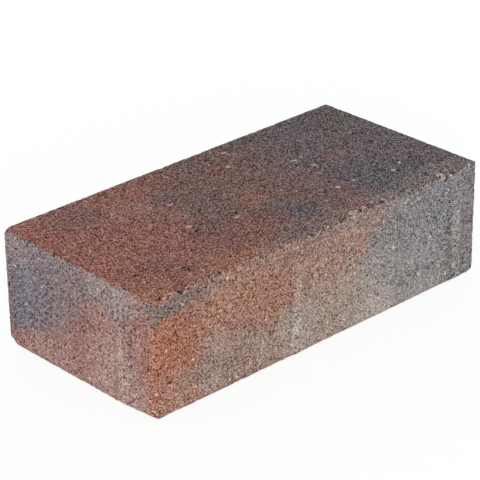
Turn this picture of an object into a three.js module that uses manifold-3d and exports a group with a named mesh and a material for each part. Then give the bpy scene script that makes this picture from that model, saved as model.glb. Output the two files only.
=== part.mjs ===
// Concrete paving stone: one dry-cast rectangular block with low spacer nibs on its sides.
// Millimetres, +Z up. The stone lies on its bed face, with the origin at the centre of that face.
// +X runs along the length, +Y across the width.

import * as THREE from 'three';
import { mergeVertices } from 'three/addons/utils/BufferGeometryUtils.js';
import Module from 'manifold-3d';

const wasm = await Module();
wasm.setup();

// ---- Driving dimensions -------------------------------------------------------------------

const LENGTH = 200;
const WIDTH = 98;
const HEIGHT = 57;

// Rounding of the arrises (the long sharp edges of the stone).
const TOP_ARRIS_RADIUS = 1;
const BED_ARRIS_RADIUS = 3;
const UPRIGHT_ARRIS_RADIUS = 2;

// Spacer nibs: shallow upright ribs that keep the joint open between laid stones.
const NIB_WIDTH = 9;
const NIB_PROJECTION = 1;
const NIB_SINK = 5;
const NIB_TOP = 42;
const NIB_RAMP = 8;
const NIB_FOOT = 4;
const SIDE_NIB_PLACES = [-15, 88];
const END_NIB_PLACE = -28;

// Corners that handling has rubbed off. Each facet meets the three edges of its corner at these
// distances from it, along the length, across the width and up or down the height.
const WORN_CORNERS = [
  { length: -1, width: -1, level: 'bed', reach: [4.2, 44, 3.3] },
  { length: -1, width: 1, level: 'bed', reach: [6.5, 7.5, 6] },
  { length: 1, width: -1, level: 'bed', reach: [4.5, 4, 4] },
  { length: 1, width: 1, level: 'bed', reach: [5, 5, 4.5] },
  { length: -1, width: 1, level: 'top', reach: [4, 4, 3] },
];

const ARC_STEPS = 8;
const CONCRETE = { color: 0x86736a, roughness: 0.95, metalness: 0 };

// ---- Helpers ------------------------------------------------------------------------------

const QUARTER_TURN = Math.PI / 2;

/** Closed Manifold solid of a three.js geometry, with its shared vertices merged. */
function solidOf(geometry) {
  const bare = geometry.clone();
  bare.deleteAttribute('normal');
  bare.deleteAttribute('uv');
  const merged = mergeVertices(bare);
  const vertProperties = Float32Array.from(merged.attributes.position.array);
  const triVerts = Uint32Array.from(merged.index.array);
  return new wasm.Manifold(new wasm.Mesh({ numProp: 3, vertProperties, triVerts }));
}

/** three.js geometry of a Manifold solid. */
function geometryOf(solid) {
  const mesh = solid.getMesh();
  const geometry = new THREE.BufferGeometry();
  geometry.setAttribute('position', new THREE.BufferAttribute(Float32Array.from(mesh.vertProperties), 3));
  geometry.setIndex(new THREE.BufferAttribute(Uint32Array.from(mesh.triVerts), 1));
  geometry.computeVertexNormals();
  return geometry;
}

/** Rectangle from (x0, y0) to (x1, y1), with one radius at its lower and one at its upper corners. */
function roundedRectangle([x0, y0], [x1, y1], lower, upper) {
  const shape = new THREE.Shape();
  shape.moveTo(x0 + lower, y0);
  shape.absarc(x1 - lower, y0 + lower, lower, -QUARTER_TURN, 0);
  shape.absarc(x1 - upper, y1 - upper, upper, 0, QUARTER_TURN);
  shape.absarc(x0 + upper, y1 - upper, upper, QUARTER_TURN, 2 * QUARTER_TURN);
  shape.absarc(x0 + lower, y0 + lower, lower, 2 * QUARTER_TURN, 3 * QUARTER_TURN);
  return shape;
}

/** Prism of an outline, extruded along its own +Z from 0 to depth. */
function prism(shape, depth) {
  return new THREE.ExtrudeGeometry(shape, { depth, bevelEnabled: false, curveSegments: ARC_STEPS });
}

// ---- Block --------------------------------------------------------------------------------

/** The block is what three prisms share: its plan, its side view and its end view. */
function block() {
  const halfLength = LENGTH / 2;
  const halfWidth = WIDTH / 2;
  const upright = UPRIGHT_ARRIS_RADIUS;
  const plan = roundedRectangle([-halfLength, -halfWidth], [halfLength, halfWidth], upright, upright);
  const planPrism = prism(plan, HEIGHT);

  const view = (half) => roundedRectangle([-half, 0], [half, HEIGHT], BED_ARRIS_RADIUS, TOP_ARRIS_RADIUS);
  const sidePrism = prism(view(halfLength), WIDTH);
  sidePrism.rotateX(QUARTER_TURN);
  sidePrism.translate(0, halfWidth, 0);

  const endPrism = prism(view(halfWidth), LENGTH);
  endPrism.rotateX(QUARTER_TURN);
  endPrism.rotateZ(QUARTER_TURN);
  endPrism.translate(-halfLength, 0, 0);

  return solidOf(planPrism).intersect(solidOf(sidePrism)).intersect(solidOf(endPrism));
}

// ---- Spacer nibs --------------------------------------------------------------------------

/**
 * One nib on a face that looks along -Y, with its root at y = 0.
 * A shallow arc in plan is cut by a side view that ramps in at the top and rounds off at the bed.
 */
function nib() {
  const half = NIB_WIDTH / 2;
  const bulge = new THREE.Shape();
  bulge.moveTo(half, NIB_SINK);
  bulge.lineTo(-half, NIB_SINK);
  bulge.lineTo(-half, 0);
  bulge.bezierCurveTo(-half / 2, 0, -half / 2, -NIB_PROJECTION, 0, -NIB_PROJECTION);
  bulge.bezierCurveTo(half / 2, -NIB_PROJECTION, half / 2, 0, half, 0);
  const rib = prism(bulge, NIB_TOP);

  const rampStart = NIB_TOP - NIB_RAMP;
  const profile = new THREE.Shape();
  profile.moveTo(NIB_SINK, 0);
  profile.lineTo(NIB_SINK, NIB_TOP);
  profile.lineTo(0, NIB_TOP);
  profile.quadraticCurveTo(-NIB_PROJECTION, (NIB_TOP + rampStart) / 2, -NIB_PROJECTION, rampStart);
  profile.lineTo(-NIB_PROJECTION, NIB_FOOT);
  profile.quadraticCurveTo(0, 0, BED_ARRIS_RADIUS, 0);
  const ramped = prism(profile, NIB_WIDTH);
  ramped.rotateX(QUARTER_TURN);
  ramped.rotateZ(QUARTER_TURN);
  ramped.translate(-half, 0, 0);

  return geometryOf(solidOf(rib).intersect(solidOf(ramped)));
}

/** Every nib in its place. The stone looks the same after half a turn about Z, so each has a twin. */
function nibs() {
  const onSide = SIDE_NIB_PLACES.map((x) => nib().translate(x, -WIDTH / 2, 0));
  const onEnd = nib().rotateZ(-QUARTER_TURN).translate(-LENGTH / 2, END_NIB_PLACE, 0);
  const oneHalf = [...onSide, onEnd];
  const otherHalf = oneHalf.map((rib) => rib.clone().rotateZ(2 * QUARTER_TURN));
  return [...oneHalf, ...otherHalf].map(solidOf);
}

// ---- Worn corners -------------------------------------------------------------------------

/** Block of waste whose inner face is the facet that wear has left on one corner. */
function wornWaste({ length, width, level, reach }) {
  const outwards = new THREE.Vector3(length, width, level === 'top' ? 1 : -1);
  const sharpZ = level === 'top' ? HEIGHT : 0;
  const sharp = new THREE.Vector3(length * LENGTH / 2, width * WIDTH / 2, sharpZ);
  const onLength = sharp.clone().setX(sharp.x - outwards.x * reach[0]);
  const onWidth = sharp.clone().setY(sharp.y - outwards.y * reach[1]);
  const onHeight = sharp.clone().setZ(sharp.z - outwards.z * reach[2]);

  const facet = new THREE.Triangle(onLength, onWidth, onHeight);
  const normal = facet.getNormal(new THREE.Vector3());
  if (normal.dot(outwards) < 0) {
    normal.negate();
  }
  const size = 2 * Math.max(...reach);
  const centre = facet.getMidpoint(new THREE.Vector3()).addScaledVector(normal, size / 2);

  const waste = new THREE.BoxGeometry(size, size, size);
  waste.applyQuaternion(new THREE.Quaternion().setFromUnitVectors(new THREE.Vector3(0, 0, 1), normal));
  waste.translate(centre.x, centre.y, centre.z);
  return solidOf(waste);
}

// ---- Assembly -----------------------------------------------------------------------------

const cast = nibs().reduce((stone, rib) => stone.add(rib), block());
const worn = WORN_CORNERS.reduce((stone, corner) => stone.subtract(wornWaste(corner)), cast);

const pavingStone = new THREE.Mesh(geometryOf(worn), new THREE.MeshStandardMaterial(CONCRETE));
pavingStone.name = 'paving_stone';

const root = new THREE.Group();
root.add(pavingStone);

export default root;
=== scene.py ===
"""Concrete paving stone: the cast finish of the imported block, with its floor, lights and camera.

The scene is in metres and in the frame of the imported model: the stone lies on its bed face at z = 0,
+X runs along its length and +Y across its width. Places and sizes on the stone are in millimetres.
"""

import math
from collections import namedtuple

import bpy
import numpy as np
from mathutils import Matrix, Vector, noise


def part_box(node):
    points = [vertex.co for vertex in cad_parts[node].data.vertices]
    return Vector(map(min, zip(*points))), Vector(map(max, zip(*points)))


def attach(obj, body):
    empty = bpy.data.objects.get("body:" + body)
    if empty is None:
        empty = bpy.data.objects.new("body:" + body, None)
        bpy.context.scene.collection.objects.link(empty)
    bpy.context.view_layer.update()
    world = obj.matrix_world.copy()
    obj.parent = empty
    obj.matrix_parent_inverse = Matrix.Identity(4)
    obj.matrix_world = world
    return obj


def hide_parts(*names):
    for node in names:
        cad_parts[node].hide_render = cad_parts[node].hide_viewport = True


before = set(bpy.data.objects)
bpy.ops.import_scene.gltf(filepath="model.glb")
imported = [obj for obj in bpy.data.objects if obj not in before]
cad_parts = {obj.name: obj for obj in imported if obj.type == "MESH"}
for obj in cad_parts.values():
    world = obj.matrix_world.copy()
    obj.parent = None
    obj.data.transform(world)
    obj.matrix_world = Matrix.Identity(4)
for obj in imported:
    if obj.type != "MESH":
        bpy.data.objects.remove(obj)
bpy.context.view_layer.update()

MM = 0.001
NODE = "paving_stone"
PIECE = "paving_stone_cast"

# ---- Size of the block, without its spacer nibs --------------------------------------------

NIB_PROJECTION = 1.0
HALF_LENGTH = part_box(NODE)[1].x / MM - NIB_PROJECTION
HALF_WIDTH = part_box(NODE)[1].y / MM - NIB_PROJECTION
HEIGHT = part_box(NODE)[1].z / MM

# ---- Camera --------------------------------------------------------------------------------

CAMERA_PLACE = (-609.2, -648.0, 471.4)
CAMERA_AZIMUTH = -43.023
CAMERA_ELEVATION = 26.19
CAMERA_ROLL = -0.71
CAMERA_LENS = 164.32
CAMERA_SENSOR = 36.0
# Nearest and furthest distance that the camera shows, in metres.
CAMERA_CLIP_START = 0.01
CAMERA_CLIP_END = 50.0


def add_camera():
    """Camera at the photograph's viewing angle. Azimuth 0 would look along +Y."""
    data = bpy.data.cameras.new("camera")
    data.lens = CAMERA_LENS
    data.sensor_width = CAMERA_SENSOR
    data.clip_start = CAMERA_CLIP_START
    data.clip_end = CAMERA_CLIP_END
    camera = bpy.data.objects.new("camera", data)
    bpy.context.scene.collection.objects.link(camera)
    turn = Matrix.Rotation(math.radians(CAMERA_AZIMUTH), 4, "Z")
    tilt = Matrix.Rotation(math.radians(90.0 - CAMERA_ELEVATION), 4, "X")
    roll = Matrix.Rotation(math.radians(CAMERA_ROLL), 4, "Z")
    camera.matrix_world = Matrix.Translation(Vector(CAMERA_PLACE) * MM) @ turn @ tilt @ roll
    bpy.context.scene.camera = camera


# ---- Light ---------------------------------------------------------------------------------

# Strength of the surroundings as a light on the stone, and as the backdrop that is seen.
SKY_STRENGTH = 0.5
BACKDROP_STRENGTH = 1.0
SOFTBOX_AIM = (0.0, 0.0, 30.0)

# Azimuth and elevation in degrees as seen from the stone, distance, width and height in mm, and
# power in watts.
Softbox = namedtuple("Softbox", "name azimuth elevation distance width height power")
SOFTBOXES = [
    Softbox("softbox_front", -40.0, 12.0, 1400.0, 1100.0, 500.0, 12.3),
    Softbox("softbox_back", 137.0, 20.0, 1600.0, 1300.0, 600.0, 9.0),
]


def add_softbox(box):
    """Area light that faces the stone from one side. Azimuth 0 would stand at -Y."""
    light = bpy.data.lights.new(box.name, "AREA")
    light.shape = "RECTANGLE"
    light.size = box.width * MM
    light.size_y = box.height * MM
    light.energy = box.power
    lamp = bpy.data.objects.new(box.name, light)
    bpy.context.scene.collection.objects.link(lamp)
    azimuth = math.radians(box.azimuth)
    elevation = math.radians(box.elevation)
    away = Vector((
        math.sin(azimuth) * math.cos(elevation),
        -math.cos(azimuth) * math.cos(elevation),
        math.sin(elevation),
    ))
    lamp.location = (Vector(SOFTBOX_AIM) + away * box.distance) * MM
    lamp.rotation_mode = "QUATERNION"
    lamp.rotation_quaternion = (-away).to_track_quat("-Z", "Y")


def add_sky():
    """Even white surroundings, which the camera sees as a white backdrop."""
    world = bpy.data.worlds.new("sky")
    bpy.context.scene.world = world
    world.use_nodes = True
    graph = Graph(world.node_tree)
    seen = graph.seen_directly()
    strength = graph.blend(seen, SKY_STRENGTH, BACKDROP_STRENGTH)
    sky = graph.add("ShaderNodeBackground", {"Color": (1.0, 1.0, 1.0, 1.0), "Strength": strength})
    graph.add("ShaderNodeOutputWorld", {"Surface": sky.outputs[0]})


# ---- Shader graphs -------------------------------------------------------------------------

# Places of the colour sockets on a Mix node, whose names its number sockets share.
MIX_COLOUR_A = 6
MIX_COLOUR_B = 7
MIX_COLOUR_RESULT = 2
# Octaves of a noise that also has fine grain.
FINE_DETAIL = 3.0


class Graph:
    """Adds linked nodes to an emptied node tree, so that a material reads like a formula."""

    def __init__(self, tree):
        self.tree = tree
        self.tree.nodes.clear()

    def add(self, kind, values=None, **settings):
        """A node with its settings, and its input sockets set to values or linked to sockets."""
        node = self.tree.nodes.new(kind)
        for name, value in settings.items():
            setattr(node, name, value)
        for socket, value in (values or {}).items():
            if isinstance(value, bpy.types.NodeSocket):
                self.tree.links.new(value, node.inputs[socket])
            else:
                node.inputs[socket].default_value = value
        return node

    def math(self, operation, a, b=0.0, c=0.0, clamp=False):
        node = self.add("ShaderNodeMath", {0: a, 1: b, 2: c}, operation=operation, use_clamp=clamp)
        return node.outputs[0]

    def vector(self, operation, a, b=(0.0, 0.0, 0.0)):
        return self.add("ShaderNodeVectorMath", {0: a, 1: b}, operation=operation).outputs[0]

    def scale(self, vector, factor):
        values = {"Vector": vector, "Scale": factor}
        return self.add("ShaderNodeVectorMath", values, operation="SCALE").outputs[0]

    def combine(self, x, y, z=0.0):
        return self.add("ShaderNodeCombineXYZ", {"X": x, "Y": y, "Z": z}).outputs[0]

    def separate(self, vector):
        return self.add("ShaderNodeSeparateXYZ", {"Vector": vector}).outputs

    def blend(self, factor, a, b):
        """Number a where factor is 0, and b where it is 1."""
        node = self.add("ShaderNodeMix", {"Factor": factor, "A": a, "B": b}, data_type="FLOAT")
        return node.outputs["Result"]

    def mix(self, factor, a, b, mode="MIX"):
        """Colour a where factor is 0, and b where it is 1."""
        node = self.add("ShaderNodeMix", {"Factor": factor}, data_type="RGBA", blend_type=mode)
        for socket, value in ((node.inputs[MIX_COLOUR_A], a), (node.inputs[MIX_COLOUR_B], b)):
            if isinstance(value, bpy.types.NodeSocket):
                self.tree.links.new(value, socket)
            else:
                socket.default_value = value
        return node.outputs[MIX_COLOUR_RESULT]

    def ramp(self, value, start, end, low=0.0, high=1.0):
        """Smooth step of value, from low at start to high at end."""
        values = {"Value": value, "From Min": start, "From Max": end, "To Min": low, "To Max": high}
        return self.add("ShaderNodeMapRange", values, interpolation_type="SMOOTHSTEP").outputs[0]

    def noise(self, vector, size, detail=2.0):
        """Cloudy noise of 0 to 1 with features of about that size, and its vector form."""
        values = {"Vector": vector, "Scale": 1.0 / size, "Detail": detail}
        return self.add("ShaderNodeTexNoise", values).outputs

    def cells(self, vector, size):
        """Scattered grains about that size apart: distance to the nearest one, and its own colour."""
        return self.add("ShaderNodeTexVoronoi", {"Vector": vector, "Scale": 1.0 / size}).outputs

    def gamma(self, colour, power):
        return self.add("ShaderNodeGamma", {"Color": colour, "Gamma": power}).outputs[0]

    def seen_directly(self):
        """1 for rays that show the backdrop: from the camera, or by gloss or glass."""
        rays = self.add("ShaderNodeLightPath").outputs
        gloss = self.math("MAXIMUM", rays["Is Glossy Ray"], rays["Is Transmission Ray"])
        return self.math("MAXIMUM", rays["Is Camera Ray"], gloss)


def linear(red, green, blue):
    """Shader colour of an sRGB colour given as 0 to 255, by the curve that defines sRGB."""
    channels = [c / 255.0 for c in (red, green, blue)]
    return (*(c / 12.92 if c <= 0.04045 else ((c + 0.055) / 1.055) ** 2.4 for c in channels), 1.0)


# ---- Floor ---------------------------------------------------------------------------------

# The floor's side in metres, and how far it lies under the bed in mm.
FLOOR_SPAN = 40.0
FLOOR_DROP = 0.05
FLOOR_COLOUR = (0.9, 0.9, 0.9, 1.0)
# How much of what is seen directly of the floor is its own glow, and how strong that is.
FLOOR_GLOW = 0.85
FLOOR_GLOW_STRENGTH = 1.06


def add_floor():
    """Wide pale floor just under the bed. It shows white, and still takes a faint shadow."""
    bpy.ops.mesh.primitive_plane_add(size=FLOOR_SPAN, location=(0.0, 0.0, -FLOOR_DROP * MM))
    floor = bpy.context.object
    floor.name = "floor"
    material = bpy.data.materials.new("floor_white")
    material.use_nodes = True
    graph = Graph(material.node_tree)
    matt = graph.add("ShaderNodeBsdfDiffuse", {"Color": FLOOR_COLOUR}).outputs[0]
    glow = graph.add("ShaderNodeEmission", {"Strength": FLOOR_GLOW_STRENGTH}).outputs[0]
    share = graph.math("MULTIPLY", graph.seen_directly(), FLOOR_GLOW)
    both = graph.add("ShaderNodeMixShader", {0: share, 1: matt, 2: glow}).outputs[0]
    graph.add("ShaderNodeOutputMaterial", {"Surface": both})
    floor.data.materials.append(material)


# ---- Stone: single grains and pits ----------------------------------------------------------

# A mark is a dome this high, cut off flat at 1, times its rise. It moves only what lies within this
# depth of the wearing face.
MARK_DOME = 1.2
MARK_DEPTH = 1.5
# A grain or a pit that shows by itself on the wearing face: its tone, its middle and half widths
# along X and Y, and how far it rises or sinks. The pits sink into the mesh, and their dark tone is
# painted shade.
Mark = namedtuple("Mark", "tone middle reach rise")
MARKS = [
    Mark("pebble", (19.7, -47.2), (3.4, 2.0), 0.35),
    Mark("salmon", (27.0, -46.7), (1.3, 1.3), 0.3),
    Mark("grit", (76.6, -47.0), (1.9, 1.9), 0.35),
    Mark("grit", (65.3, -28.5), (1.5, 1.1), 0.3),
    Mark("grit", (73.4, -24.7), (1.1, 0.9), 0.25),
    Mark("grit", (44.7, -23.5), (1.1, 0.7), 0.2),
    Mark("grit", (34.4, -23.8), (1.2, 0.9), 0.25),
    Mark("grit", (38.6, -46.7), (1.2, 0.8), 0.2),
    Mark("grit", (33.5, -45.4), (0.9, 0.7), 0.2),
    Mark("grit", (40.6, 11.0), (1.3, 1.0), 0.25),
    Mark("grit", (43.8, 0.8), (1.2, 0.8), 0.25),
    Mark("dusty_pink", (62.8, 1.0), (1.7, 1.4), 0.3),
    Mark("dusty_pink", (13.7, -8.0), (1.2, 1.0), 0.2),
    Mark("dusty_pink", (12.1, 43.2), (1.5, 1.2), 0.2),
    Mark("pebble", (14.0, 27.3), (1.4, 1.1), 0.25),
    Mark("salmon", (-19.3, -14.7), (2.1, 1.3), 0.3),
    Mark("salmon", (-41.3, -6.9), (1.8, 1.3), 0.3),
    Mark("salmon", (-59.0, -32.0), (1.2, 0.9), 0.25),
    Mark("salmon", (-71.1, -40.7), (0.9, 0.7), 0.2),
    Mark("salmon", (-73.0, 5.3), (1.2, 0.9), 0.2),
    Mark("salmon", (-31.6, 15.4), (1.0, 0.8), 0.2),
    Mark("salmon", (23.4, 40.1), (1.4, 1.0), 0.3),
    Mark("salmon", (25.6, 37.4), (0.9, 0.8), 0.2),
    Mark("salmon", (-14.0, 38.7), (1.1, 1.0), 0.25),
    Mark("salmon", (9.1, 35.2), (1.1, 0.9), 0.2),
    # Painted shade: the pits below take the dark tone that stands in for the shade inside them.
    Mark("painted_shade", (43.0, -21.8), (1.4, 1.0), -0.9),
    Mark("painted_shade", (47.6, -21.6), (1.7, 1.0), -0.9),
    Mark("painted_shade", (62.0, -25.4), (1.3, 0.8), -0.8),
    Mark("painted_shade", (67.0, -30.3), (1.1, 0.8), -0.8),
    Mark("painted_shade", (73.7, -13.0), (0.9, 0.8), -0.7),
    Mark("painted_shade", (81.6, -24.3), (1.6, 0.9), -0.8),
    Mark("painted_shade", (73.2, -41.0), (1.0, 0.8), -0.7),
    Mark("painted_shade", (36.3, -48.2), (1.7, 0.8), -0.7),
    Mark("painted_shade", (83.6, -48.2), (1.6, 1.2), -0.9),
    Mark("painted_shade", (23.6, -48.2), (0.9, 0.9), -0.7),
    Mark("painted_shade", (13.2, -48.6), (2.2, 0.9), -0.7),
    Mark("painted_shade", (26.3, -22.7), (1.4, 1.1), -0.8),
    Mark("painted_shade", (76.9, 26.8), (1.2, 0.9), -0.8),
    Mark("painted_shade", (81.9, 26.9), (1.3, 0.8), -0.8),
    Mark("painted_shade", (78.6, 21.9), (1.1, 0.8), -0.8),
    Mark("painted_shade", (94.5, -0.5), (1.0, 0.8), -0.7),
    Mark("painted_shade", (65.6, -0.4), (1.2, 0.9), -0.8),
    Mark("painted_shade", (41.7, 1.9), (1.0, 0.9), -0.8),
    Mark("painted_shade", (39.6, 3.1), (0.8, 0.8), -0.7),
    Mark("painted_shade", (-17.0, -11.2), (0.9, 0.8), -0.7),
    Mark("painted_shade", (-26.3, 2.6), (1.6, 1.2), -0.8),
    Mark("painted_shade", (-33.2, 13.7), (0.9, 0.9), -0.7),
    Mark("painted_shade", (-41.9, -12.4), (1.7, 0.9), -0.8),
    Mark("painted_shade", (-49.0, 7.4), (1.5, 1.0), -0.8),
    Mark("painted_shade", (-68.6, -36.2), (1.5, 1.0), -0.8),
    Mark("painted_shade", (-79.0, -20.0), (1.2, 0.9), -0.7),
    Mark("painted_shade", (-87.9, -25.6), (1.4, 1.1), -0.8),
    Mark("painted_shade", (-70.6, 20.4), (1.3, 0.8), -0.7),
    Mark("painted_shade", (-92.1, 29.0), (1.0, 0.8), -0.7),
]


# ---- Stone: mesh ---------------------------------------------------------------------------

MESH_PITCH = 0.62
TRIANGLE_BUDGET = 196000

# The cast skin's relief, in mm. Long low waves and a slight roughness: their height and their size.
WAVE_HEIGHT = 0.08
WAVE_SIZE = 40.0
ROUGH_HEIGHT = 0.06
ROUGH_SIZE = 6.0
# Grains: how high they stand, how far apart they are, and the square of the distance from a grain,
# in cells, at which the skin is level.
GRAIN_HEIGHT = 0.55
GRAIN_SIZE = 1.9
GRAIN_LEVEL = 0.4
# Pores: how deep they get for each cell of distance inside their reach, how far apart they are, their
# reach in cells, and how far their pattern is moved from that of the grains.
PORE_STEEPNESS = 0.9
PORE_PITCH = 3.2
PORE_REACH = 0.36
PORE_SHIFT = 50.0
# How far the grains of the walls may stand proud of the plain block, which its nibs leave room for,
# and how much of its grain the pressed bed keeps.
WALL_RISE = 0.25
BED_GRAIN = 0.3

# Wear along the arrises: how deep they are rubbed and how far in from the arris.
RUB_DEPTH = 0.08
RUB_REACH = 3.0
# Chips: how far in they reach, their size, the size and weight of the swell that gathers them, how
# far its pattern is moved, and the noise above which they start.
CHIP_REACH = 2.4
CHIP_SIZE = 2.6
CHIP_SWELL_SIZE = 6.0
CHIP_SWELL_WEIGHT = 0.5
CHIP_SWELL_SHIFT = 20.0
CHIP_START = 0.2
# Depth of the chips along the near long side, and along the other arrises, in mm for each unit of
# noise. The near side starts at this share of the half width.
NEAR_CHIP_DEPTH = 1.8
CHIP_DEPTH = 0.5
NEAR_SIDE_START = -0.9


def apply_modifiers(piece):
    """Replaces a piece's mesh by what its modifiers make of it."""
    evaluated = piece.evaluated_get(bpy.context.evaluated_depsgraph_get())
    mesh = bpy.data.meshes.new_from_object(evaluated)
    piece.modifiers.clear()
    piece.data = mesh


def even_copy(node):
    """Copy of a CAD node, rebuilt as even quads small enough to carry the relief."""
    mesh = node.data.copy()
    mesh.materials.clear()
    piece = bpy.data.objects.new(PIECE, mesh)
    bpy.context.scene.collection.objects.link(piece)
    remesh = piece.modifiers.new("even_quads", "REMESH")
    remesh.mode = "VOXEL"
    remesh.voxel_size = MESH_PITCH * MM
    apply_modifiers(piece)
    return piece


def read_vectors(items, name):
    """One vector property of a mesh's vertices or normals, as rows of a numpy array."""
    values = np.empty(len(items) * 3, dtype=np.float32)
    items.foreach_get(name, values)
    return values.reshape(-1, 3).astype(float)


def cloudy(points, size):
    """Smooth noise of about -1 to 1 with features of that size."""
    return np.array([noise.noise(p) for p in points / size])


def scattered(points, size):
    """Distance, in cells, from each point to the nearest of many scattered grains."""
    return np.array([noise.voronoi(p)[0][0] for p in points / size])


def arris_inset(points):
    """Distance of each point from the nearest arris, along the face it lies on."""
    inset = np.column_stack([
        HALF_LENGTH - abs(points[:, 0]),
        HALF_WIDTH - abs(points[:, 1]),
        np.minimum(points[:, 2], HEIGHT - points[:, 2]),
    ])
    return np.sort(inset, axis=1)[:, 1]


def marked(points):
    """Rise of the single grains and depth of the pits on the wearing face."""
    height = np.zeros(len(points))
    on_top = points[:, 2] > HEIGHT - MARK_DEPTH
    for mark in MARKS:
        offset = (points[:, :2] - mark.middle) / mark.reach
        dome = np.clip(MARK_DOME - (offset ** 2).sum(axis=1), 0.0, 1.0)
        height += mark.rise * dome * on_top
    return height


def grain_relief(points):
    """Height of the grains over the level of the skin, less the depth of the pores between them."""
    grains = ROUGH_HEIGHT * cloudy(points, ROUGH_SIZE)
    grains += GRAIN_HEIGHT * (GRAIN_LEVEL - scattered(points, GRAIN_SIZE) ** 2)
    pores = np.clip(PORE_REACH - scattered(points + PORE_SHIFT, PORE_PITCH), 0.0, 1.0)
    return grains - PORE_STEEPNESS * pores


def rubbed_off(points):
    """Depth that wear has rubbed off along the arrises."""
    arris_band = np.clip(1.0 - arris_inset(points) / RUB_REACH, 0.0, 1.0)
    return RUB_DEPTH * arris_band ** 2


def chipped_off(points):
    """Depth of the chips along the arrises, deepest along the near long side."""
    near_arris = np.clip(1.0 - arris_inset(points) / CHIP_REACH, 0.0, 1.0)
    swell = CHIP_SWELL_WEIGHT * cloudy(points + CHIP_SWELL_SHIFT, CHIP_SWELL_SIZE)
    chips = np.clip(cloudy(points, CHIP_SIZE) + swell - CHIP_START, 0.0, 1.0)
    on_near_side = points[:, 1] < NEAR_SIDE_START * HALF_WIDTH
    return near_arris * chips * np.where(on_near_side, NEAR_CHIP_DEPTH, CHIP_DEPTH)


def relief(points):
    """Height of the cast skin over the solid at each point. The wearing face and the bed only sink."""
    on_bed = points[:, 2] < MESH_PITCH
    grains = grain_relief(points) * np.where(on_bed, BED_GRAIN, 1.0)
    height = WAVE_HEIGHT * cloudy(points, WAVE_SIZE) + grains
    height += marked(points)
    height -= rubbed_off(points)
    height -= chipped_off(points)
    on_flats = (points[:, 2] < MESH_PITCH) | (points[:, 2] > HEIGHT - MESH_PITCH)
    return np.minimum(height, np.where(on_flats, 0.0, WALL_RISE))


def keep_in_box(mesh):
    """Moves what stands out of the CAD model's box onto its faces."""
    points = read_vectors(mesh.vertices, "co")
    inside = np.clip(points, *(np.array(corner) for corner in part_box(NODE)))
    mesh.vertices.foreach_set("co", inside.astype(np.float32).ravel())
    mesh.update()


def add_stone():
    """The stone: the CAD solid with the grain, pores and rubbed arrises of dry-cast concrete."""
    piece = even_copy(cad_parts[NODE])
    mesh = piece.data
    points = read_vectors(mesh.vertices, "co") / MM
    normals = read_vectors(mesh.vertex_normals, "vector")
    points += normals * relief(points)[:, None]
    mesh.vertices.foreach_set("co", (points * MM).astype(np.float32).ravel())
    keep_in_box(mesh)
    triangles = 2 * len(mesh.polygons)
    if triangles > TRIANGLE_BUDGET:
        decimate = piece.modifiers.new("within_budget", "DECIMATE")
        decimate.ratio = TRIANGLE_BUDGET / triangles
        apply_modifiers(piece)
        keep_in_box(piece.data)
    piece.data.shade_smooth()
    piece.data.materials.clear()
    piece.data.materials.append(concrete())
    return piece


# ---- Stone: pigments -----------------------------------------------------------------------

# The mix's own tones, and the dark tone of painted shade, as sRGB from 0 to 255.
TONES = {
    "terracotta": (156, 105, 94),
    "oxide_red": (150, 84, 80),
    "oxide_dark": (126, 84, 76),
    "rust": (160, 104, 85),
    "sienna": (156, 109, 92),
    "dusty_pink": (155, 119, 112),
    "umber": (126, 96, 90),
    "olive": (112, 98, 91),
    "charcoal": (106, 97, 99),
    "slate": (99, 97, 102),
    "ash": (128, 117, 115),
    "orange": (161, 112, 93),
    "tan": (160, 123, 105),
    "buff": (158, 133, 121),
    "taupe": (143, 124, 116),
    "putty": (126, 112, 106),
    "chalk": (151, 148, 147),
    "bone": (176, 166, 158),
    "stone_grey": (138, 134, 134),
    "steel": (131, 133, 141),
    "mauve": (137, 124, 126),
    "lavender": (124, 121, 129),
    "rose": (163, 126, 118),
    "blush": (174, 146, 138),
    "shell": (154, 138, 137),
    "soot": (84, 76, 78),
    "pebble": (190, 172, 163),
    "salmon": (202, 166, 156),
    "grit": (200, 194, 193),
    "fawn": (168, 148, 138),
    # Painted shade: the dark tone put in the pits, in the nicks along the arrises and in the rings
    # around proud grains.
    "painted_shade": (70, 55, 52),
}

# A cloud of one tone on a face: its middle and half widths in the face's own coordinates, how far
# it covers, and how soft its rim is.
Cloud = namedtuple("Cloud", "tone middle reach cover rim", defaults=(0.5,))

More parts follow.
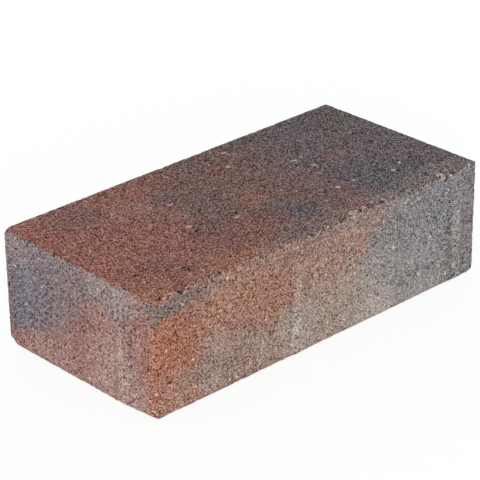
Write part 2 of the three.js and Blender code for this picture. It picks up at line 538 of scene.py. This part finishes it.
# Coordinates on the wearing face are X and Y.
WEARING_BASE = "umber"
WEARING_CLOUDS = [
    Cloud("terracotta", (-92, 2), (55, 75), 1.0, 0.35),
    Cloud("charcoal", (95, 5), (60, 80), 0.95, 0.35),
    Cloud("soot", (38, 53), (66, 12), 0.45, 0.6),
    Cloud("buff", (-16, -54), (76, 12), 0.62, 0.6),
    Cloud("ash", (38, -56), (80, 22), 0.5),
    Cloud("stone_grey", (72, -45), (34, 8), 0.28),
    Cloud("bone", (76, -48), (12, 5), 0.15),
    Cloud("buff", (88, -40), (5, 4), 0.3),
    Cloud("tan", (16, -52), (18, 8), 0.3),
    Cloud("rust", (-98, 0), (9, 55), 0.6),
    Cloud("rust", (-88, -46), (15, 9), 0.6),
    Cloud("orange", (-66, -48), (34, 10), 0.8),
    Cloud("orange", (-92, -33), (10, 13), 0.5),
    Cloud("orange", (-48, -45), (20, 9), 0.75),
    Cloud("sienna", (-44, 36), (14, 12), 0.7),
    Cloud("rust", (-28, 41), (18, 12), 0.35),
    Cloud("umber", (-72, 37), (10, 15), 0.55),
    Cloud("umber", (-44, -27), (7, 4), 0.3),
    Cloud("umber", (-65, 31), (7, 6), 0.5),
    Cloud("dusty_pink", (-47, 22), (17, 9), 0.6),
    Cloud("rust", (-78, -12), (16, 9), 0.45),
    Cloud("oxide_dark", (-77, -28), (9, 7), 0.4),
    Cloud("oxide_dark", (-70, -38), (8, 4), 0.55),
    Cloud("umber", (-70, -17), (10, 4), 0.3),
    Cloud("oxide_red", (-62, 6), (12, 8), 0.2),
    Cloud("slate", (-28, 22), (5, 7), 0.3),
    Cloud("olive", (-24, 4), (8, 8), 0.6),
    Cloud("dusty_pink", (-36, 6), (5, 4), 0.4),
    Cloud("olive", (-33, -11), (9, 6), 0.5),
    Cloud("oxide_dark", (-44, -15), (6, 5), 0.6),
    Cloud("oxide_red", (-22, -21), (9, 4), 0.45, 0.6),
    Cloud("oxide_red", (-35, -31), (6, 4), 0.4, 0.6),
    Cloud("oxide_red", (-18, -34), (5, 4), 0.5, 0.6),
    Cloud("oxide_red", (-6, -32), (4, 3), 0.35, 0.6),
    Cloud("sienna", (-22, -32), (9, 9), 0.35),
    Cloud("sienna", (-1, -4), (7, 8), 0.6),
    Cloud("slate", (3, -19), (7, 5), 0.5),
    Cloud("slate", (5, -30), (6, 8), 0.8),
    Cloud("slate", (-8, -45), (9, 5), 0.3),
    Cloud("dusty_pink", (0, -40), (4, 3), 0.6),
    Cloud("oxide_red", (6, 25), (4, 5), 0.5, 0.6),
    Cloud("oxide_red", (34, -29), (2.2, 4), 0.5, 0.4),
    Cloud("orange", (30, -38), (3, 5), 0.5),
    Cloud("oxide_red", (28, -46), (4, 3), 0.6),
    Cloud("slate", (57, -21), (11, 10), 0.85, 0.4),
    Cloud("slate", (50, -31), (11, 8), 0.8, 0.4),
    Cloud("slate", (68, -32), (10, 7), 0.7, 0.4),
    Cloud("umber", (60, 3), (8, 5), 0.5),
    Cloud("ash", (64, -7), (5, 4), 0.3),
    Cloud("ash", (88, -5), (6, 5), 0.25),
    Cloud("soot", (76, -27), (8, 5), 0.25),
    Cloud("olive", (80, 26), (7, 6), 0.6),
    Cloud("olive", (70, 46), (4, 3), 0.7),
    Cloud("soot", (97, 32), (7, 11), 0.3),
    Cloud("dusty_pink", (24, 40), (3, 3), 0.6),
]

# Coordinates on the two long sides are X and Z.
NEAR_SIDE_BASE = "buff"
NEAR_SIDE_CLOUDS = [
    Cloud("stone_grey", (80, 32), (48, 60), 1.0, 0.25),
    Cloud("steel", (72, 32), (17, 20), 0.45, 0.6),
    Cloud("chalk", (65, 16), (17, 20), 0.7, 0.6),
    Cloud("chalk", (34, 22), (15, 18), 0.7),
    Cloud("bone", (14, 10), (30, 22), 0.42, 0.6),
    Cloud("orange", (-97, 26), (25, 48), 1.0, 0.35),
    Cloud("orange", (-79, 37), (9, 10), 0.7),
    Cloud("rust", (-76, 38), (7, 12), 0.35),
    Cloud("umber", (-76, 46), (7, 4), 0.6),
    Cloud("tan", (-84, 7), (20, 13), 0.6),
    Cloud("blush", (-83, 8), (13, 10), 0.3),
    Cloud("buff", (-76, 15), (9, 6), 0.7),
    Cloud("tan", (-46, 44), (34, 24), 0.95, 0.35),
    Cloud("taupe", (-8, 58), (40, 8), 0.5, 0.6),
    Cloud("taupe", (24, 54), (9, 5), 0.4, 0.6),
    Cloud("bone", (15, 48), (5, 6), 0.4),
    Cloud("chalk", (34, 40), (4, 6), 0.35),
    Cloud("taupe", (-56, 13), (21, 12), 0.5),
    Cloud("buff", (-44, 7), (8, 7), 0.7),
    Cloud("bone", (-58, 24), (10, 8), 0.3),
    Cloud("oxide_red", (-52, 28), (5, 4), 0.25),
    Cloud("bone", (-38, 13), (7, 7), 0.35),
    Cloud("bone", (-70, 7), (5, 7), 0.5),
    Cloud("bone", (-19, 14), (10, 10), 0.7, 0.6),
    Cloud("orange", (-17, 28), (6, 6), 0.4),
    Cloud("putty", (-88, 52.5), (20, 4.5), 0.95, 0.35),
    Cloud("putty", (-97, 52), (8, 4), 0.7, 0.3),
    Cloud("taupe", (-66, 52), (10, 5), 0.7),
    Cloud("putty", (-22, 48), (6, 4), 0.5),
    Cloud("orange", (13, 48), (5, 4), 0.5),
    Cloud("orange", (7, 34), (4, 4), 0.3),
    Cloud("rose", (24, 43), (4, 5), 0.5),
    Cloud("taupe", (5, 51), (6, 6), 0.5),
    Cloud("bone", (35, 6), (13, 9), 0.9),
    Cloud("chalk", (57, 12), (9, 14), 0.5),
    Cloud("chalk", (60, 29), (11, 8), 0.6),
    Cloud("bone", (64, 5), (13, 6), 0.42),
    Cloud("chalk", (97, 55), (6, 5), 0.7),
    Cloud("charcoal", (100, 34), (9, 36), 0.25, 0.6),
]
NEAR_SIDE_SPOTS = [
    Cloud("chalk", (90, 56), (9, 1.6), 0.5),
    Cloud("charcoal", (86, 14), (1.6, 1.6), 0.6),
    # Painted shadow: each dark cloud in the tone of painted shade rings the pale grain that follows it
    # at the arris.
    Cloud("painted_shade", (19.7, 55.8), (3.8, 2.6), 0.6, 0.2),
    Cloud("bone", (19.7, 55.8), (3.2, 2.0), 0.8, 0.2),
    Cloud("painted_shade", (77.4, 55.8), (2.6, 2.4), 0.6, 0.2),
    Cloud("bone", (76.8, 56.2), (1.8, 1.6), 0.9, 0.2),
    # Painted shade: a dark nick at the arris.
    Cloud("painted_shade", (83.6, 56.4), (1.8, 1.0), 0.9, 0.2),
]

# Coordinates on the two ends are Y and Z.
NEAR_END_BASE = "rose"
NEAR_END_CLOUDS = [
    Cloud("mauve", (42, 46), (46, 28), 1.0, 0.35),
    Cloud("mauve", (42, 22), (20, 13), 1.0, 0.25),
    Cloud("lavender", (33, 34), (13, 20), 0.8),
    Cloud("charcoal", (51, 22), (8, 20), 0.35, 0.6),
    Cloud("mauve", (-6, 51), (12, 9), 0.75),
    Cloud("shell", (-23, 49), (14, 9), 0.85),
    Cloud("shell", (40, 52), (14, 8), 0.8),
    Cloud("bone", (-34, 54), (10, 4), 0.2),
    Cloud("chalk", (32, 39), (5, 5), 0.4),
    Cloud("umber", (-3, 28), (10, 8), 0.25),
    Cloud("blush", (10, 3), (26, 6), 0.38),
    Cloud("blush", (19, 9), (10, 7), 0.6),
    Cloud("blush", (-31, 8), (12, 8), 0.7),
    Cloud("blush", (-23, 15), (14, 14), 0.9),
    Cloud("orange", (-51, 20), (9, 25), 0.6, 0.4),
    Cloud("umber", (-50, 48), (10, 8), 0.3),
    Cloud("taupe", (-38, 19), (4, 6), 0.5),
    Cloud("putty", (-50, 54), (5, 5), 0.9, 0.2),
]

FAR_SIDE_BASE = "taupe"
FAR_SIDE_CLOUDS = [
    Cloud("stone_grey", (74, 30), (42, 50), 1.0, 0.3),
    Cloud("orange", (-86, 30), (30, 44), 0.9, 0.35),
    Cloud("tan", (-42, 42), (26, 20), 0.8, 0.4),
    Cloud("rose", (4, 22), (18, 16), 0.6),
    Cloud("mauve", (-52, 8), (20, 10), 0.7),
    Cloud("chalk", (32, 8), (13, 10), 0.7),
    Cloud("steel", (60, 44), (13, 9), 0.6),
    Cloud("putty", (-8, 53), (22, 5), 0.8, 0.3),
    Cloud("orange", (20, 46), (6, 5), 0.4),
    Cloud("bone", (-70, 4), (7, 4), 0.6),
    Cloud("buff", (86, 6), (16, 6), 0.6),
]

FAR_END_BASE = "stone_grey"
FAR_END_CLOUDS = [
    Cloud("taupe", (20, 8), (30, 14), 0.8, 0.3),
    Cloud("steel", (-20, 42), (18, 14), 0.6),
    Cloud("mauve", (14, 36), (15, 11), 0.6),
    Cloud("chalk", (-34, 14), (11, 10), 0.6),
    Cloud("putty", (38, 50), (14, 6), 0.7, 0.3),
    Cloud("rose", (-4, 20), (9, 6), 0.35),
]

BED_BASE = "taupe"
BED_CLOUDS = [
    Cloud("rose", (-60, 5), (45, 50), 0.9, 0.35),
    Cloud("stone_grey", (70, -5), (45, 50), 0.9, 0.35),
    Cloud("tan", (-8, 22), (24, 16), 0.7),
    Cloud("chalk", (22, -20), (20, 14), 0.6),
    Cloud("mauve", (-36, -26), (18, 12), 0.6),
    Cloud("steel", (62, 24), (22, 14), 0.5),
]

# What has rubbed along the nibs: pale wear, with dark lines of painted shade beside the flanks of the
# side nibs and dark streaks on the end nib. Half a turn about Z takes each nib to its twin, so these
# are written for the near faces and turned over for the far ones.
SIDE_NIB_WEAR_AND_SHADE = [
    # Painted shade: a dark line beside the nib's flank.
    Cloud("charcoal", (-20.9, 22), (1.1, 18), 0.35, 0.7),
    Cloud("bone", (-14.4, 10), (4.8, 29), 0.4, 0.6),
    # Painted shade: a dark line beside the nib's flank.
    Cloud("charcoal", (81.8, 26), (1.8, 22), 0.5, 0.7),
    Cloud("bone", (87.8, 28), (3.3, 22), 0.35, 0.7),
]
END_NIB_RUBS = [
    Cloud("charcoal", (-34.9, 30), (1.1, 20), 0.35, 0.7),
    Cloud("bone", (-27.4, 38), (4.3, 20), 0.3, 0.6),
    Cloud("charcoal", (-23.6, 46), (0.8, 7), 0.6, 0.6),
    Cloud("charcoal", (-27.5, 42), (0.7, 8), 0.6, 0.6),
    Cloud("charcoal", (-31.5, 41), (0.7, 7), 0.6, 0.6),
]


def covered(graph, face, cloud):
    """How far a cloud covers each place of its face."""
    across, up = cloud.middle
    half_across, half_up = cloud.reach
    local = graph.add("ShaderNodeVectorMath", {
        0: face,
        1: (1.0 / half_across, 1.0 / half_up, 0.0),
        2: (-across / half_across, -up / half_up, 0.0),
    }, operation="MULTIPLY_ADD").outputs[0]
    away = graph.add("ShaderNodeVectorMath", {0: local}, operation="LENGTH").outputs["Value"]
    return graph.ramp(away, 1.0 - cloud.rim, 1.0 + cloud.rim, cloud.cover, 0.0)


def clouded(graph, face, colour, clouds):
    """Colour of one face under its clouds, in the order given."""
    for cloud in clouds:
        colour = graph.mix(covered(graph, face, cloud), colour, linear(*TONES[cloud.tone]))
    return colour


# ---- Stone: concrete -----------------------------------------------------------------------

# The lightness of grains and pores is added to the tones as they are seen, which this gamma gives.
SEEN_GAMMA = 2.2
# Size of the sand's grains, and the spread of their lightness on the walls and on the wearing face.
SAND_SIZE = 0.3
WALL_SPREAD = 0.52
WEARING_SPREAD = 0.75
# Fine and open pores: how far apart, their reach as a share of that, how many show, and how much
# painted shade darkens them against the mix.
Pore = namedtuple("Pore", "size reach share darkness")
PORES = [
    Pore(0.75, 0.42, 0.45, 0.33),
    Pore(1.9, 0.26, 0.72, 0.38),
]
# Gouges, where pores have run together: size, where in the noise they start, how soft their rim is,
# and how much painted shade darkens them.
GOUGE_SIZE = 2.6
GOUGE_START = 0.68
GOUGE_RIM = 0.03
GOUGE_SHADE = 0.33
# The part of a pore's or a single grain's reach that is covered in full.
FULL_SHARE = 0.7
# Brightness of the mix between its pores, and what the sand's spread adds to it on average.
WALL_GAIN = 1.135
WEARING_GAIN = 1.04
SAND_LIFT = 0.02
# The finished surface: how rough and how glossy it is, how strong its fine bump is, and how high the
# sand stands in that, in mm.
SURFACE_ROUGHNESS = 0.93
SURFACE_GLOSS = 0.1
BUMP_STRENGTH = 0.8
SAND_BUMP = 0.15

# How far the rims of the clouds wander, and over what distance: in swirls, in frays, and from each
# grain of sand to the next.
CLOUD_SWIRL = 14.0
CLOUD_SWIRL_SIZE = 16.0
CLOUD_FRAY = 9.0
CLOUD_FRAY_SIZE = 4.0
GRAIN_JUMP = 1.5
# The same for the rims of the single marks, the spots, and the nibs' wear, streaks and painted shade
# lines.
MARK_FRAY = 1.2
MARK_FRAY_SIZE = 0.9

# Single pale and dark grains all over the stone: the lightness they add as it is seen, how far apart,
# their reach as a share of that, and how many of them show.
Stray = namedtuple("Stray", "lift size reach share")
STRAYS = [
    Stray(0.2, 6.0, 0.15, 0.8),
    Stray(-0.16, 5.0, 0.16, 0.5),
]
# Reach of the smallest of them, as a share of the largest.
SMALLEST_STRAY = 0.5
# How far a mark of the wearing face is covered by its tone, and how soft its rim is.
MARK_COVER = 0.9
MARK_RIM = 0.25
# A painted shadow, a dark ring in the tone of painted shade, runs around the grains of the wearing
# face that stand this proud: its reach as a share of theirs, its cover and its rim.
MARK_SHADOW_RISE = 0.35
MARK_SHADOW_SPREAD = 1.4
MARK_SHADOW_COVER = 0.6
MARK_SHADOW_RIM = 0.2

# Flecks of other pigments all through the mix: size, where in the noise they start, and cover.
Fleck = namedtuple("Fleck", "tone size start cover")
FLECKS = [
    Fleck("oxide_red", 3.2, 0.6, 0.2),
    Fleck("olive", 2.7, 0.6, 0.25),
]
FLECK_RIM = 0.08

# Pale crumbs, partly painted highlight, and dark nicks of painted shade along the arrises of the
# wearing face: how far in they are thickest and how far they reach, their size, and for each where in
# the noise it starts and its cover.
ARRIS_FULL = 0.6
ARRIS_REACH = 2.6
ARRIS_GRAIN = 2.2
ArrisSpeck = namedtuple("ArrisSpeck", "tone start cover")
ARRIS_CRUMBS_AND_SHADING = [
    # Pale crumbs, partly painted highlight along the arris.
    ArrisSpeck("fawn", 0.55, 0.75),
    ArrisSpeck("bone", 0.61, 0.8),
    # Painted shade: the dark nicks along the arris.
    ArrisSpeck("painted_shade", 0.55, 0.7),
]
SPECK_RIM = 0.06
# How many of them the ends have, as a share of what the long sides have.
END_SPECKS = 0.5
# The line along an arris where one face's colours end: how soft it is, how far it wanders, and over
# what distance.
ARRIS_BLUR = 0.15
ARRIS_WANDER = 3.0
ARRIS_WANDER_SIZE = 5.0


def centred(graph, vector, amount):
    """Noise vector of 0 to 1, moved to lie about zero and scaled."""
    return graph.scale(graph.vector("SUBTRACT", vector, (0.5, 0.5, 0.5)), amount)


def wandered(graph, place, grain):
    """Place with swirls and frays added, so that the clouds' rims wander and break up into grains."""
    swirl = centred(graph, graph.noise(place, CLOUD_SWIRL_SIZE)["Color"], CLOUD_SWIRL)
    fray = centred(graph, graph.noise(place, CLOUD_FRAY_SIZE, FINE_DETAIL)["Color"], CLOUD_FRAY)
    jump = centred(graph, grain["Color"], GRAIN_JUMP)
    wander = graph.vector("ADD", swirl, graph.vector("ADD", fray, jump))
    return graph.vector("ADD", place, wander)


def face_depths(graph, place):
    """Depths of a place under the sides, the ends, the wearing face and the bed."""
    x, y, z = graph.separate(place)[:3]
    side_depth = graph.math("SUBTRACT", HALF_WIDTH, graph.math("ABSOLUTE", y))
    end_depth = graph.math("SUBTRACT", HALF_LENGTH, graph.math("ABSOLUTE", x))
    return side_depth, end_depth, graph.math("SUBTRACT", HEIGHT, z), z


def face_shares(graph, place, depths):
    """How much each point belongs to the ends, the wearing face and the bed, as 0 to 1."""
    side_depth, end_depth, top_depth, bed_depth = depths
    wall_depth = graph.math("MINIMUM", side_depth, end_depth)
    wander = graph.math("SUBTRACT", graph.noise(place, ARRIS_WANDER_SIZE)["Fac"], 0.5)
    wander = graph.math("MULTIPLY", wander, ARRIS_WANDER)

    def nearer(depth, other):
        """1 where depth is less than other, with a ragged rim along the arris."""
        lead = graph.math("ADD", graph.math("SUBTRACT", other, depth), wander)
        return graph.ramp(lead, -ARRIS_BLUR, ARRIS_BLUR)

    return nearer(end_depth, side_depth), nearer(top_depth, wall_depth), nearer(bed_depth, wall_depth)


def arris_crumbs_and_shading(graph, place, depths, end_share, body):
    """Body colour with the pale crumbs and painted highlight, and the painted shade of the nicks,
    along the wearing face's arrises, fewer along the ends.
    """
    side_depth, end_depth, top_depth, _ = depths
    inset = graph.math("MAXIMUM", top_depth, graph.math("MINIMUM", side_depth, end_depth))
    thickness = graph.blend(end_share, 1.0, END_SPECKS)
    arris_band = graph.ramp(inset, ARRIS_FULL, ARRIS_REACH, thickness, 0.0)
    channels = graph.separate(graph.noise(place, ARRIS_GRAIN, FINE_DETAIL)["Color"])
    for speck, channel in zip(ARRIS_CRUMBS_AND_SHADING, channels):
        cover = graph.ramp(channel, speck.start, speck.start + SPECK_RIM, 0.0, speck.cover)
        body = graph.mix(graph.math("MULTIPLY", arris_band, cover), body, linear(*TONES[speck.tone]))
    return body


def stray_lift(graph, place):
    """Lightness that the single pale grains add, and the dark ones take away."""
    lift = 0.0
    for stray in STRAYS:
        cell = graph.cells(place, stray.size)
        draws = graph.separate(cell["Color"])
        shows = graph.math("LESS_THAN", draws[0], stray.share)
        reach = graph.blend(draws[1], SMALLEST_STRAY * stray.reach, stray.reach)
        full_reach = graph.math("MULTIPLY", reach, FULL_SHARE)
        inside = graph.ramp(cell["Distance"], full_reach, reach, 1.0, 0.0)
        lift = graph.math("MULTIPLY_ADD", graph.math("MULTIPLY", inside, shows), stray.lift, lift)
    return lift


def turned_over(graph, along, across):
    """Coordinate along a wall, mirrored on the far walls, where each nib is its twin's turned copy."""
    return graph.math("MULTIPLY", along, graph.math("SIGN", graph.math("MULTIPLY", across, -1.0)))


def flecked(graph, place, body):
    """Body colour with the flecks of other pigments that run all through the mix."""
    for fleck in FLECKS:
        cloud = graph.noise(place, fleck.size, FINE_DETAIL)["Fac"]
        cover = graph.ramp(cloud, fleck.start, fleck.start + FLECK_RIM, 0.0, fleck.cover)
        body = graph.mix(cover, body, linear(*TONES[fleck.tone]))
    return body


def mark_clouds():
    """Clouds of the marks on the wearing face, each after the painted shadow ring that it may have
    around it.
    """
    clouds = []
    for mark in MARKS:
        # Painted shadow: a dark ring around each proud grain.
        if mark.rise >= MARK_SHADOW_RISE:
            shadow_reach = (MARK_SHADOW_SPREAD * mark.reach[0], MARK_SHADOW_SPREAD * mark.reach[1])
            clouds.append(Cloud("painted_shade", mark.middle, shadow_reach, MARK_SHADOW_COVER, MARK_SHADOW_RIM))
        clouds.append(Cloud(mark.tone, mark.middle, mark.reach, MARK_COVER, MARK_RIM))
    return clouds


def body_colour(graph, place, grain, depths, shares):
    """Colour of the mix before its speckle: each face has its own clouds, met at the arrises."""
    x, y, _ = graph.separate(place)[:3]
    soft = graph.separate(wandered(graph, place, grain))
    plan = graph.combine(soft[0], soft[1])
    side = graph.combine(soft[0], soft[2])
    end = graph.combine(soft[1], soft[2])
    fray = centred(graph, graph.noise(place, MARK_FRAY_SIZE)["Color"], MARK_FRAY)
    sharp = graph.separate(graph.vector("ADD", place, fray))
    turned_x = turned_over(graph, sharp[0], y)
    turned_y = turned_over(graph, sharp[1], x)

    near_side = clouded(graph, side, linear(*TONES[NEAR_SIDE_BASE]), NEAR_SIDE_CLOUDS)
    near_side = clouded(graph, graph.combine(sharp[0], sharp[2]), near_side, NEAR_SIDE_SPOTS)
    far_side = clouded(graph, side, linear(*TONES[FAR_SIDE_BASE]), FAR_SIDE_CLOUDS)
    sides = graph.mix(graph.math("GREATER_THAN", y, 0.0), near_side, far_side)
    sides = clouded(graph, graph.combine(turned_x, sharp[2]), sides, SIDE_NIB_WEAR_AND_SHADE)

    near_end = clouded(graph, end, linear(*TONES[NEAR_END_BASE]), NEAR_END_CLOUDS)
    far_end = clouded(graph, end, linear(*TONES[FAR_END_BASE]), FAR_END_CLOUDS)
    ends = graph.mix(graph.math("GREATER_THAN", x, 0.0), near_end, far_end)
    ends = clouded(graph, graph.combine(turned_y, sharp[2]), ends, END_NIB_RUBS)

    wearing = clouded(graph, plan, linear(*TONES[WEARING_BASE]), WEARING_CLOUDS)
    bed = clouded(graph, plan, linear(*TONES[BED_BASE]), BED_CLOUDS)

    end_share, wearing_share, bed_share = shares
    body = graph.mix(end_share, sides, ends)
    body = graph.mix(wearing_share, body, wearing)
    body = graph.mix(bed_share, body, bed)
    body = flecked(graph, place, body)
    body = arris_crumbs_and_shading(graph, place, depths, end_share, body)
    marked_body = clouded(graph, graph.combine(sharp[0], sharp[1]), body, mark_clouds())
    return graph.mix(wearing_share, body, marked_body)


def hollow_shades(graph, place):
    """How much painted shade darkens each place, for the pores and gouges it lies in."""
    gouge = graph.noise(place, GOUGE_SIZE, FINE_DETAIL)["Fac"]
    darkest_shade = graph.ramp(gouge, GOUGE_START, GOUGE_START + GOUGE_RIM, 0.0, GOUGE_SHADE)
    for pore in PORES:
        cell = graph.cells(place, pore.size)
        shows = graph.math("LESS_THAN", graph.separate(cell["Color"])[0], pore.share)
        full_reach = FULL_SHARE * pore.reach
        inside = graph.ramp(cell["Distance"], full_reach, pore.reach, pore.darkness, 0.0)
        darkest_shade = graph.math("MAXIMUM", darkest_shade, graph.math("MULTIPLY", inside, shows))
    return darkest_shade


def concrete():
    """Pigmented dry-cast concrete: clouds of pigment under an even speckle of sand, with painted shade
    in the pores and gouges.
    """
    material = bpy.data.materials.new("concrete")
    material.use_nodes = True
    graph = Graph(material.node_tree)
    place = graph.scale(graph.add("ShaderNodeTexCoord").outputs["Object"], 1.0 / MM)

    depths = face_depths(graph, place)
    shares = face_shares(graph, place, depths)
    sand = graph.cells(place, SAND_SIZE)
    sand_pick = graph.math("SUBTRACT", graph.separate(sand["Color"])[0], 0.5)
    hollow_shade = hollow_shades(graph, place)

    body = body_colour(graph, place, sand, depths, shares)
    seen = graph.vector("ADD", graph.gamma(body, 1.0 / SEEN_GAMMA), stray_lift(graph, place))
    spread = graph.blend(shares[1], WALL_SPREAD, WEARING_SPREAD)
    sandy = graph.vector("ADD", seen, graph.math("MULTIPLY", sand_pick, spread))
    colour = graph.gamma(graph.vector("MAXIMUM", sandy), SEEN_GAMMA)
    colour = graph.scale(colour, graph.blend(shares[1], WALL_GAIN, WEARING_GAIN))
    colour = graph.vector("MAXIMUM", graph.vector("SUBTRACT", colour, (SAND_LIFT,) * 3))
    # Painted shade: in the pores and gouges the seen colour is darkened by the hollows' shade.
    shaded_seen = graph.vector("MAXIMUM", graph.vector("SUBTRACT", seen, hollow_shade))
    in_hollow_shade = graph.ramp(hollow_shade, 0.0, GOUGE_SHADE)
    colour = graph.mix(in_hollow_shade, colour, graph.gamma(shaded_seen, SEEN_GAMMA))

    # The bump sinks the skin in the hollows by the same amount as their painted shade.
    skin = graph.math("MULTIPLY_ADD", hollow_shade, -1.0, graph.math("MULTIPLY", sand_pick, SAND_BUMP))
    bump = graph.add("ShaderNodeBump", {"Strength": BUMP_STRENGTH, "Distance": MM, "Height": skin})
    surface = graph.add("ShaderNodeBsdfPrincipled", {
        "Base Color": colour,
        "Roughness": SURFACE_ROUGHNESS,
        "Specular IOR Level": SURFACE_GLOSS,
        "Normal": bump.outputs[0],
    })
    graph.add("ShaderNodeOutputMaterial", {"Surface": surface.outputs[0]})
    return material


# ---- Scene ---------------------------------------------------------------------------------

bpy.context.scene.view_settings.view_transform = "Standard"
add_camera()
add_sky()
for softbox in SOFTBOXES:
    add_softbox(softbox)
add_floor()

stone = add_stone()
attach(stone, "root")
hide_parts(NODE)
